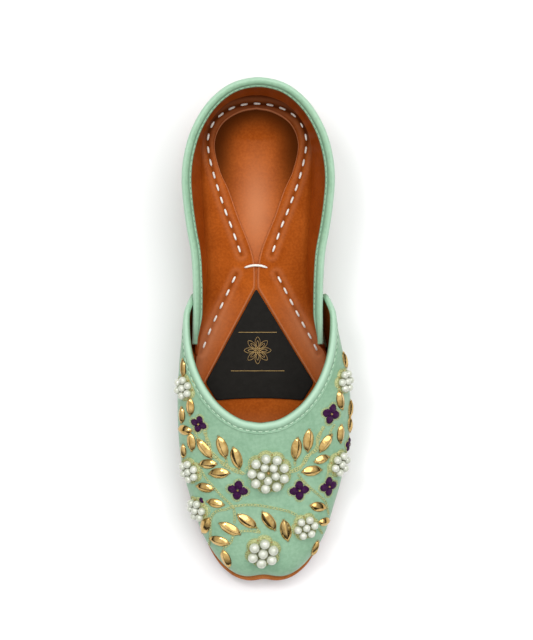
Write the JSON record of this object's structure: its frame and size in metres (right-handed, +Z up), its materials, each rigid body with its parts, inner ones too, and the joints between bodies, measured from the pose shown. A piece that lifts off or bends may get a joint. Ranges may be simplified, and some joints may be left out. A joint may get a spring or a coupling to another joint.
{
  "type": "beaded mojari shoe",
  "caption": "Low slip-on leather shoe with a lapped vamp and quarter, piped topline, flat leather sole with a low heel, and bead embroidery on the toe; left shoe",
  "frame": {"origin": "middle of the shoe's box, on the floor", "axes": "+Y to the heel, -Y to the toe, +X to the lateral side of a left foot, +Z up"},
  "size_m": [0.0896, 0.2494, 0.0503],
  "materials": {
    "sole_leather": "tan vegetable leather with a dyed edge",
    "lining_leather": "smooth brown lining leather",
    "label_cloth": "black coated cloth with fine gold rules",
    "upper_leather": "satin mint leather",
    "gold_bead": "polished gold-coloured beads",
    "pearl_bead": "white imitation pearls on a pale gold thread pad",
    "satin_thread": "purple satin-stitch thread with a pale gold outline"
  },
  "bodies": {
    "root": {"outsole": "sole_leather", "insole": "lining_leather", "sock": "lining_leather", "label": "label_cloth", "upper": "upper_leather", "vamp_binding": "upper_leather", "quarter_binding": "upper_leather", "leaf_01": "gold_bead", "leaf_02": "gold_bead", "leaf_03": "gold_bead", "leaf_04": "gold_bead", "leaf_05": "gold_bead", "leaf_06": "gold_bead", "leaf_07": "gold_bead", "leaf_08": "gold_bead", "leaf_09": "gold_bead", "leaf_10": "gold_bead", "leaf_11": "gold_bead", "leaf_12": "gold_bead", "leaf_13": "gold_bead", "leaf_14": "gold_bead", "leaf_15": "gold_bead", "leaf_16": "gold_bead", "leaf_17": "gold_bead", "leaf_18": "gold_bead", "leaf_19": "gold_bead", "leaf_20": "gold_bead", "leaf_21": "gold_bead", "leaf_22": "gold_bead", "leaf_23": "gold_bead", "leaf_24": "gold_bead", "leaf_25": "gold_bead", "leaf_26": "gold_bead", "leaf_27": "gold_bead", "leaf_28": "gold_bead", "leaf_29": "gold_bead", "leaf_30": "gold_bead", "leaf_31": "gold_bead", "leaf_32": "gold_bead", "leaf_33": "gold_bead", "pearl_flower_1": "pearl_bead", "pearl_flower_2": "pearl_bead", "pearl_flower_3": "pearl_bead", "pearl_flower_4": "pearl_bead", "pearl_flower_5": "pearl_bead", "pearl_flower_6": "pearl_bead", "pearl_flower_7": "pearl_bead", "pearl_flower_8": "pearl_bead", "petal_flower_1": "satin_thread", "petal_flower_2": "satin_thread", "petal_flower_3": "satin_thread", "petal_flower_4": "satin_thread", "petal_flower_5": "satin_thread", "petal_flower_6": "satin_thread"}
  },
  "joints": []
}
